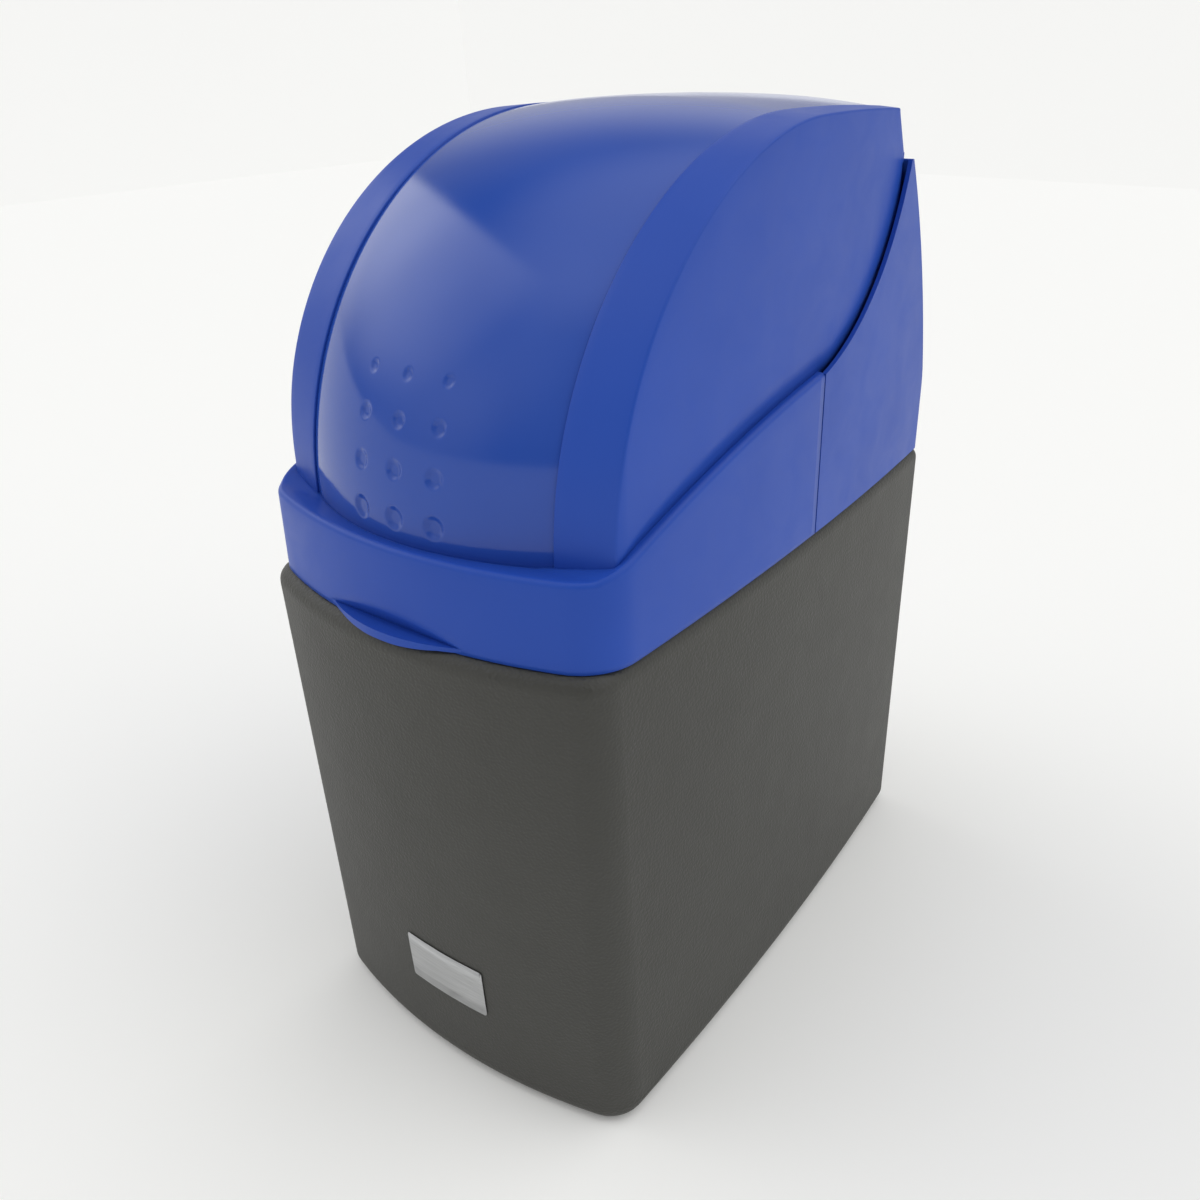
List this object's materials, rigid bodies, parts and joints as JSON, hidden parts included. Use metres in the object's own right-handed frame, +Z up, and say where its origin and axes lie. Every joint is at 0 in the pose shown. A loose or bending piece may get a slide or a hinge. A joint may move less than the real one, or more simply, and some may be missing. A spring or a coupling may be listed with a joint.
{
  "type": "water softener",
  "caption": "Compact cabinet water softener: grey brine tank, glossy blue hinged lid and rear cover, resin vessel, motor driven disc valve, controller with buttons, float valve.",
  "frame": {"origin": "Centre of the base face on the floor, midway between the tank's front and rear.", "axes": "+Z up from the floor; +X to the right seen from the front; -Y out of the front, +Y to the rear with the pipe connections."},
  "size_m": [0.2698, 0.515, 0.611],
  "materials": {
    "cabinet_plastic": "rotomoulded polyethylene, fine grain",
    "lid_plastic": "glossy blue polypropylene",
    "vessel_shell": "glass fibre wound vessel",
    "boot_plastic": "black polyethylene",
    "resin_beads": "amber ion exchange beads",
    "white_plastic": "white PVC and polypropylene",
    "black_plastic": "glass filled black nylon",
    "grey_plastic": "grey acetal",
    "gear_plastic": "natural acetal",
    "ceramic_disc": "lapped alumina",
    "seal_rubber": "EPDM",
    "steel": "zinc plated and stainless steel",
    "board": "solder mask green",
    "window": "clear polycarbonate",
    "brass": "machined brass",
    "blue_plastic": "blue nylon"
  },
  "bodies": {
    "cabinet_body": {"cabinet": "cabinet_plastic", "rear_cover": "lid_plastic", "rear_cover_screws": "steel", "hinge_pins": "steel", "resin_vessel": "vessel_shell", "vessel_boot": "boot_plastic", "resin_bed": "resin_beads", "riser_tube": "white_plastic", "bottom_distributor": "white_plastic", "top_distributor": "white_plastic", "neck_seal": "seal_rubber", "valve_body": "black_plastic", "fixed_disc": "ceramic_disc", "disc_cover": "black_plastic", "valve_screws": "steel", "spindle_seal": "seal_rubber", "gear_motor": "steel", "gear_plate": "grey_plastic", "position_switch": "black_plastic", "injector_cap": "grey_plastic", "injector_nozzle": "white_plastic", "brine_elbow": "white_plastic", "brine_tube": "white_plastic", "inlet_adapter": "white_plastic", "outlet_adapter": "white_plastic", "adapter_seals": "seal_rubber", "adapter_clips": "grey_plastic", "turbine_axle": "steel", "turbine_cage": "white_plastic", "drain_spigot": "black_plastic", "brine_well": "white_plastic", "float_valve": "white_plastic", "pickup_tube": "white_plastic", "check_cage": "white_plastic", "salt_grid": "white_plastic", "overflow_elbow": "black_plastic", "overflow_seal": "seal_rubber", "overflow_nut": "black_plastic", "control_case": "black_plastic", "control_face": "grey_plastic", "display_window": "window", "display_module": "black_plastic", "circuit_board": "board", "control_bracket": "steel", "power_socket": "black_plastic"},
    "lid_body": {"lid": "lid_plastic", "hinge_bushes": "gear_plastic"},
    "drive": {"drive_gear": "gear_plastic", "drive_spindle": "steel", "turning_disc": "ceramic_disc"},
    "pinion": {"motor_pinion": "brass"},
    "turbine": {"flow_turbine": "blue_plastic"},
    "float_body": {"float_rod": "white_plastic", "well_float": "blue_plastic"},
    "cap_body": {"well_cap": "white_plastic"},
    "ball_body": {"check_ball": "seal_rubber"},
    "press_1": {"button_1": "blue_plastic"},
    "press_2": {"button_2": "white_plastic"},
    "press_3": {"button_3": "white_plastic"},
    "press_4": {"button_4": "white_plastic"}
  },
  "joints": [
    {"name": "lid_hinge", "type": "hinge", "parent": "cabinet_body", "child": "lid_body", "pos_m": [0, 0.151, 0.572], "axis": [-1, 0, 0], "range_deg": [0, 85]},
    {"name": "drive_gear_turn", "type": "hinge", "parent": "cabinet_body", "child": "drive", "pos_m": [0, 0.112, 0.52], "axis": [0, 0, 1], "continuous": true},
    {"name": "motor_pinion_turn", "type": "hinge", "parent": "cabinet_body", "child": "pinion", "pos_m": [0, 0.06475, 0.52], "axis": [0, 0, 1], "continuous": true},
    {"name": "turbine_turn", "type": "hinge", "parent": "cabinet_body", "child": "turbine", "pos_m": [0.038, 0.1663, 0.476], "axis": [0, 1, 0], "continuous": true},
    {"name": "float_rise", "type": "slide", "parent": "cabinet_body", "child": "float_body", "axis": [0, 0, 1], "range_m": [0, 0.038]},
    {"name": "well_cap_lift", "type": "slide", "parent": "cabinet_body", "child": "cap_body", "axis": [0, 0, 1], "range_m": [0, 0.08]},
    {"name": "check_ball_rise", "type": "slide", "parent": "cabinet_body", "child": "ball_body", "axis": [0, 0, 1], "range_m": [0, 0.01]},
    {"name": "button_1_press", "type": "slide", "parent": "cabinet_body", "child": "press_1", "axis": [0, 0.6428, -0.766], "range_m": [0, 0.0015], "stiffness_N_per_m": 200},
    {"name": "button_2_press", "type": "slide", "parent": "cabinet_body", "child": "press_2", "axis": [0, 0.6428, -0.766], "range_m": [0, 0.0015], "stiffness_N_per_m": 200},
    {"name": "button_3_press", "type": "slide", "parent": "cabinet_body", "child": "press_3", "axis": [0, 0.6428, -0.766], "range_m": [0, 0.0015], "stiffness_N_per_m": 200},
    {"name": "button_4_press", "type": "slide", "parent": "cabinet_body", "child": "press_4", "axis": [0, 0.6428, -0.766], "range_m": [0, 0.0015], "stiffness_N_per_m": 200}
  ],
  "couplings": [
    {"joint": "motor_pinion_turn", "follows": "drive_gear_turn", "ratio": -3.2}
  ]
}
